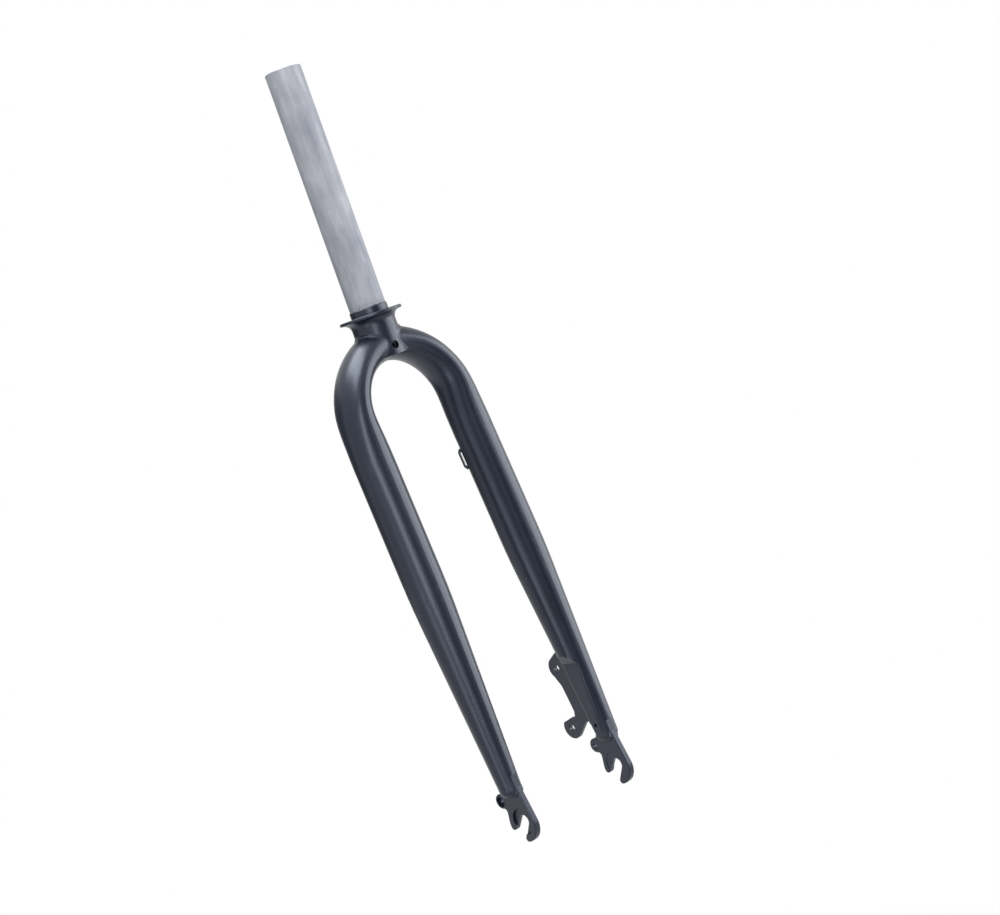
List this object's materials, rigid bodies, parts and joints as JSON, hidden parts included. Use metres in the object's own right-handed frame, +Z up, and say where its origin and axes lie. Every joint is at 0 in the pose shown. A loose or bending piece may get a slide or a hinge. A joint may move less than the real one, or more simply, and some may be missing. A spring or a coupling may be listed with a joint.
{
  "type": "bicycle fork",
  "caption": "Rigid steel bicycle front fork: bare steerer tube, black bent blades under a turned collar, slotted dropouts and a disc brake mount",
  "frame": {"origin": "on the steerer axis, at the shoulder of the collar that the lower headset bearing's race sits on", "axes": "+Z up the steerer, +X forward (the way the axle is offset), +Y to the rider's left (the disc brake side, along the wheel axle)"},
  "size_m": [0.0752, 0.135, 0.6068],
  "materials": {
    "black_paint": "semi-gloss black paint on steel",
    "bare_steel": "drawn steel tube, left bare"
  },
  "bodies": {
    "root": {"steerer_tube": "bare_steel", "crown_collar": "black_paint", "left_blade": "black_paint", "right_blade": "black_paint", "left_dropout": "black_paint", "right_dropout": "black_paint", "disc_brake_mount": "black_paint", "hose_guide": "black_paint", "left_crown_weld": "black_paint", "right_crown_weld": "black_paint", "left_dropout_weld": "black_paint", "right_dropout_weld": "black_paint", "brake_mount_weld": "black_paint"}
  },
  "joints": []
}
